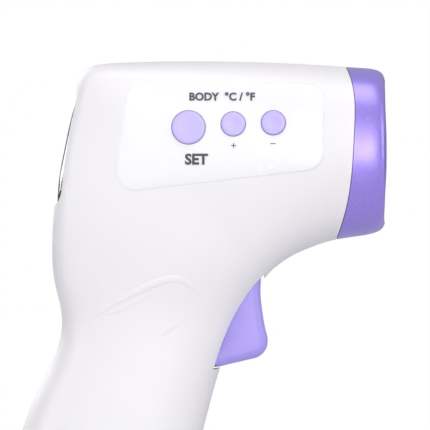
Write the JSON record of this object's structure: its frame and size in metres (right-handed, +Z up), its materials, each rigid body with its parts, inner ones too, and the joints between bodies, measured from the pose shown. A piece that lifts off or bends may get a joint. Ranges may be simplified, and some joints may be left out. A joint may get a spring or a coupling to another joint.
{
  "type": "infrared forehead thermometer",
  "caption": "Pistol-grip non-contact digital thermometer: sensor nose, rear display, side control buttons, finger trigger and sliding battery door.",
  "frame": {"origin": "middle of the flat foot of the handle", "axes": "+Z up the handle, +X out of the nose along the line of sight, +Y to the left side"},
  "size_m": [0.0996, 0.0408, 0.1548],
  "materials": {
    "aluminium_can": "drawn",
    "backlight": "diffuse",
    "black_plastic": "moulded",
    "board_green": "solder mask",
    "brass": "gold plated",
    "button_lilac": "satin",
    "cable_grey": "extruded",
    "cell_glass": "polished",
    "cell_wrap": "printed film",
    "chip": "moulded epoxy",
    "filter_pane": "polished",
    "lilac": "satin",
    "mask_black": "printed",
    "nickel": "nickel plated",
    "panel": "gloss",
    "plate": "matt",
    "reflector": "polished",
    "ribbon": "polyimide",
    "shell": "satin",
    "silicone": "moulded",
    "steel": "plain",
    "trigger_lilac": "satin",
    "white_plastic": "moulded",
    "window": "polished",
    "wire_black": "extruded",
    "wire_red": "extruded",
    "zinc": "zinc plated"
  },
  "bodies": {
    "body": {"amplifier_chip": "chip", "backlight": "backlight", "battery_bridge": "nickel", "battery_tray": "black_plastic", "black_wire": "wire_black", "board_connector": "white_plastic", "board_screws": "zinc", "button_panel": "panel", "buzzer": "black_plastic", "capacitor_1": "aluminium_can", "capacitor_2": "aluminium_can", "controller_chip": "chip", "crystal": "aluminium_can", "display_board": "board_green", "display_cell": "cell_glass", "display_connector": "white_plastic", "display_frame": "white_plastic", "display_mask": "mask_black", "display_ribbon": "ribbon", "display_window": "window", "front_plate": "plate", "housing_screws": "zinc", "left_battery_spring": "nickel", "left_cell": "cell_wrap", "left_housing": "shell", "lower_contact_strip": "silicone", "main_board": "board_green", "minus_contact": "nickel", "minus_switch": "black_plastic", "nose_ring": "lilac", "plus_contact": "nickel", "plus_switch": "black_plastic", "red_wire": "wire_red", "right_battery_spring": "nickel", "right_cell": "cell_wrap", "right_housing": "shell", "sensor_board": "board_green", "sensor_cable": "cable_grey", "sensor_can": "nickel", "sensor_cup": "reflector", "sensor_leads": "brass", "sensor_window": "filter_pane", "settings_switch": "black_plastic", "trigger_board": "board_green", "trigger_cable": "cable_grey", "trigger_pin": "steel", "trigger_spring": "steel", "trigger_switch": "black_plastic", "upper_contact_strip": "silicone"},
    "settings_key": {"settings_button": "button_lilac", "settings_plunger": "white_plastic"},
    "plus_key": {"plus_button": "button_lilac", "plus_plunger": "white_plastic"},
    "minus_key": {"minus_button": "button_lilac", "minus_plunger": "white_plastic"},
    "trigger_lever": {"trigger": "trigger_lilac"},
    "trigger_key": {"trigger_plunger": "white_plastic"},
    "door": {"battery_door": "shell"}
  },
  "joints": [
    {"name": "settings_press", "type": "slide", "parent": "body", "child": "settings_key", "axis": [0, 1, 0], "range_m": [0, 0.0004], "stiffness_N_per_m": 3000, "springref_m": -0.0002},
    {"name": "plus_press", "type": "slide", "parent": "body", "child": "plus_key", "axis": [0, 1, 0], "range_m": [0, 0.0004], "stiffness_N_per_m": 3000, "springref_m": -0.0002},
    {"name": "minus_press", "type": "slide", "parent": "body", "child": "minus_key", "axis": [0, 1, 0], "range_m": [0, 0.0004], "stiffness_N_per_m": 3000, "springref_m": -0.0002},
    {"name": "trigger_pull", "type": "hinge", "parent": "body", "child": "trigger_lever", "pos_m": [0.0425, 0, 0.0995], "axis": [0, 1, 0], "range_deg": [0, 4], "stiffness_Nm_per_rad": 0.6, "springref_deg": -2.86, "deforming": ["trigger_spring"]},
    {"name": "trigger_switch_press", "type": "slide", "parent": "body", "child": "trigger_key", "axis": [-1, 0, 0], "range_m": [0, 0.00045]},
    {"name": "battery_door_slide", "type": "slide", "parent": "body", "child": "door", "axis": [0, 0, -1], "range_m": [0, 0.06]}
  ],
  "couplings": [
    {"joint": "trigger_switch_press", "follows": "trigger_pull", "m_per_rad": 0.006}
  ]
}
